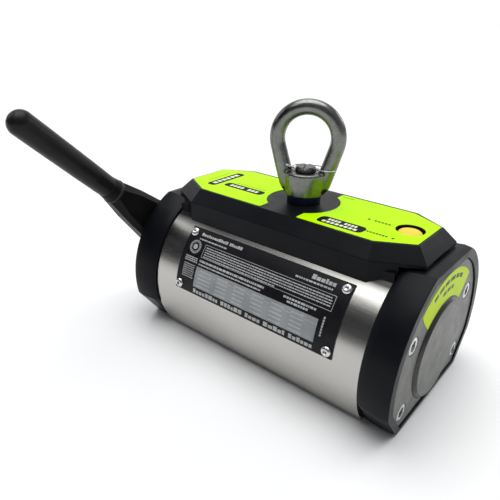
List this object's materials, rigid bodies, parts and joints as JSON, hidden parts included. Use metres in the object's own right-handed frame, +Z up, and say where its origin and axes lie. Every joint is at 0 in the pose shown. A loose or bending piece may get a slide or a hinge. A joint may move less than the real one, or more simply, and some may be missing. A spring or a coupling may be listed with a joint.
{
  "type": "switchable permanent lifting magnet",
  "caption": "Barrel-shaped permanent lifting magnet with a lifting eye on top, moulded end caps and a side lever that turns the magnetic rotor on and off.",
  "frame": {"origin": "centre of the flat lifting face under the barrel", "axes": "+X along the barrel towards the closed end (the lever is at -X), +Y to the back, +Z up through the lifting eye"},
  "size_m": [0.2836, 0.2408, 0.2074],
  "materials": {
    "pole_steel": "ground mild steel",
    "spacer_brass": "milled",
    "cover_steel": "brushed stainless sheet, grain along the barrel",
    "screw_steel": "bright zinc plated",
    "black_moulding": "satin black with a fine moulded grain",
    "label_green": "printed vinyl, yellow-green",
    "plug_yellow": "semi-gloss yellow",
    "collar_black": "blue-black enamel",
    "eye_steel": "satin galvanised forging",
    "wire_steel": "drawn stainless wire",
    "plate_black": "printed black with satin silver marks",
    "seal_rubber": "matt",
    "end_gray": "dark gray satin, turned on the disc",
    "bush_bronze": "turned bronze",
    "magnet_nickel": "nickel plated",
    "journal_steel": "ground",
    "lever_black": "black powder coat",
    "neck_steel": "blackened, with a bright worn edge",
    "stud_black": "black oxide",
    "grip_rubber": "matt, lightly ribbed"
  },
  "bodies": {
    "base": {"pole_front": "pole_steel", "pole_back": "pole_steel", "spacer_bottom": "spacer_brass", "spacer_top": "spacer_brass", "shell": "cover_steel", "lifting_bar": "pole_steel", "lifting_bar_screws": "screw_steel", "top_housing": "black_moulding", "housing_screws": "screw_steel", "label_left": "label_green", "label_right": "label_green", "thread_plug": "plug_yellow", "eye_collar": "collar_black", "eye_stud": "stud_black", "eye_nut": "eye_steel", "lock_wire": "wire_steel", "data_plate": "plate_black", "data_plate_screws": "screw_steel", "end_cap_right": "black_moulding", "end_gasket_right": "seal_rubber", "end_plate_right": "end_gray", "end_label": "label_green", "bearing_disc": "end_gray", "bush_right": "bush_bronze", "cap_screws_right": "screw_steel", "end_cap_left": "black_moulding", "end_gasket_left": "seal_rubber", "index_plate_left": "end_gray", "bush_left": "bush_bronze", "shaft_seal": "seal_rubber", "cap_screws_left": "screw_steel"},
    "rotor": {"rotor_pole_upper": "pole_steel", "rotor_pole_lower": "pole_steel", "rotor_magnet": "magnet_nickel", "rotor_journal_right": "journal_steel", "rotor_flange_left": "journal_steel", "drive_shaft": "journal_steel", "drive_key": "journal_steel", "rotor_screws": "screw_steel", "retaining_washer": "screw_steel", "retaining_screw": "screw_steel"},
    "lever": {"lever_arm": "lever_black", "stop_pin": "journal_steel", "lever_rod": "journal_steel", "neck_ring": "neck_steel", "ferrule": "lever_black", "grip": "grip_rubber", "roll_pin": "screw_steel", "return_spring": "wire_steel"}
  },
  "joints": [
    {"name": "rotor_turn", "type": "hinge", "parent": "base", "child": "rotor", "pos_m": [0, 0, 0.045], "axis": [-1, 0, 0], "range_deg": [0, 93]},
    {"name": "lever_pull", "type": "slide", "parent": "rotor", "child": "lever", "axis": [-1, 0, 0], "range_m": [0, 0.008], "stiffness_N_per_m": 2000, "springref_m": -0.005, "deforming": ["return_spring"]}
  ]
}
